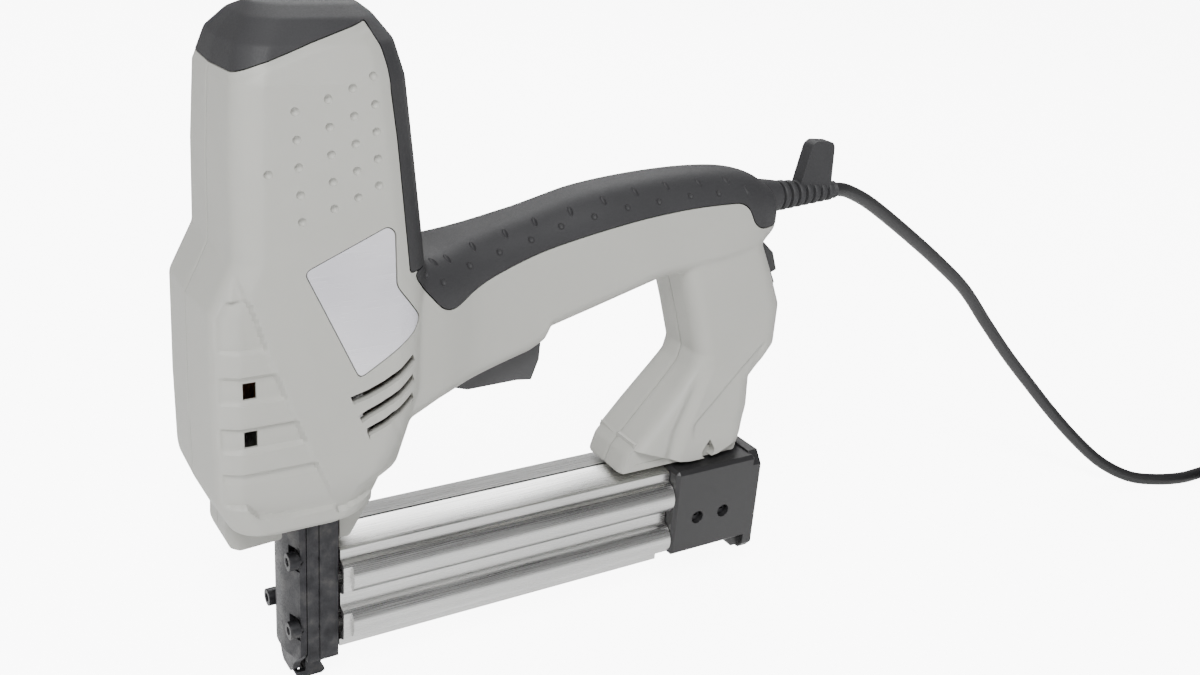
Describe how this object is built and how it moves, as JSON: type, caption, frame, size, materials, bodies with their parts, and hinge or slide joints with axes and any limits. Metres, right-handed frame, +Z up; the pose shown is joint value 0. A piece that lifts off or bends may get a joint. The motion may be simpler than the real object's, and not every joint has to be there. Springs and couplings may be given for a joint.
{
  "type": "electric staple gun",
  "caption": "Corded electric staple gun with a tall solenoid head, closed rubber-topped handle, steel nose and a slide-back aluminium magazine.",
  "frame": {"origin": "on the lower face of the nose's foot, in the plane of symmetry, 2.4 mm behind the line that the staples leave along", "axes": "+X runs back from the nose to the cord, +Y is the tool's right side, +Z is up along the head, so the staples leave along -Z"},
  "size_m": [0.6067, 0.1687, 0.2575],
  "materials": {
    "grey_plastic": "fine satin moulded texture",
    "black_rubber": "matt, lightly textured",
    "silver_label": "brushed foil",
    "black_steel": "blackened, satin",
    "aluminium": "drawn and lightly brushed",
    "black_plastic": "satin moulded",
    "dark_plastic": "satin moulded",
    "steel": "bright",
    "copper": "enamelled wire",
    "green_board": "satin lacquer",
    "nylon": "natural"
  },
  "bodies": {
    "tool": {"housing_left": "grey_plastic", "housing_right": "grey_plastic", "top_cap": "black_rubber", "handle_grip": "black_rubber", "label_plate_left": "silver_label", "label_plate_right": "silver_label", "housing_screw_1": "steel", "housing_screw_2": "steel", "housing_screw_3": "steel", "housing_screw_4": "steel", "housing_screw_5": "steel", "housing_screw_6": "steel", "housing_screw_7": "steel", "nose_body": "black_steel", "nose_casting": "black_steel", "nose_tip": "black_steel", "nose_screw_1": "black_steel", "nose_screw_2": "black_steel", "nose_screw_3": "black_steel", "nose_screw_4": "black_steel", "magazine_rail": "aluminium", "staple_strip": "steel", "latch_pin": "steel", "latch_spring": "steel", "trigger_pin": "steel", "trigger_spring": "steel", "trigger_switch": "black_plastic", "rocker_bezel": "black_plastic", "coil_bobbin": "nylon", "coil_winding": "copper", "yoke_frame": "steel", "return_spring": "steel", "upper_bumper": "black_rubber", "lower_bumper": "black_rubber", "control_board": "green_board", "capacitor": "dark_plastic", "heat_sink": "aluminium", "terminal_block": "nylon", "cord_clamp": "dark_plastic", "cord_boot": "black_rubber", "lead_end": "black_plastic", "power_cord": "black_plastic", "cord_coil": "black_plastic", "cord_tie": "black_plastic", "cord_tail": "black_plastic", "mains_plug": "black_plastic"},
    "trigger": {"trigger": "dark_plastic"},
    "power_rocker": {"power_rocker": "black_plastic"},
    "ram": {"plunger": "steel", "driver_blade": "steel"},
    "latch": {"latch_lever": "dark_plastic"},
    "drawer": {"magazine_extrusion": "aluminium", "rear_cap": "black_plastic", "cap_insert": "aluminium", "cap_screw_1": "black_steel", "cap_screw_2": "black_steel", "cap_screw_3": "black_steel", "cap_screw_4": "black_steel", "pusher_spring": "steel"},
    "pusher": {"pusher": "black_steel"}
  },
  "joints": [
    {"name": "trigger_press", "type": "hinge", "parent": "tool", "child": "trigger", "pos_m": [0.057, 0, 0.1245], "axis": [0, -1, 0], "range_deg": [0, 11.5], "stiffness_Nm_per_rad": 0.6, "springref_deg": -11.46, "deforming": ["trigger_spring"]},
    {"name": "rocker_switch", "type": "hinge", "parent": "tool", "child": "power_rocker", "pos_m": [0.2024, 0, 0.1471], "axis": [0, 1, 0], "range_deg": [0, 15]},
    {"name": "ram_stroke", "type": "slide", "parent": "tool", "child": "ram", "axis": [0, 0, -1], "range_m": [0, 0.043], "stiffness_N_per_m": 150, "springref_m": -0.05, "deforming": ["return_spring"]},
    {"name": "latch_lift", "type": "hinge", "parent": "tool", "child": "latch", "pos_m": [0.182, 0, 0.072], "axis": [0, -1, 0], "range_deg": [0, 12], "stiffness_Nm_per_rad": 0.3, "springref_deg": -17.19, "deforming": ["latch_spring"]},
    {"name": "drawer_slide", "type": "slide", "parent": "tool", "child": "drawer", "axis": [1, 0, 0], "range_m": [0, 0.12]},
    {"name": "pusher_slide", "type": "slide", "parent": "drawer", "child": "pusher", "axis": [1, 0, 0], "range_m": [0, 0.068], "stiffness_N_per_m": 30, "springref_m": -0.1, "deforming": ["pusher_spring"]}
  ]
}
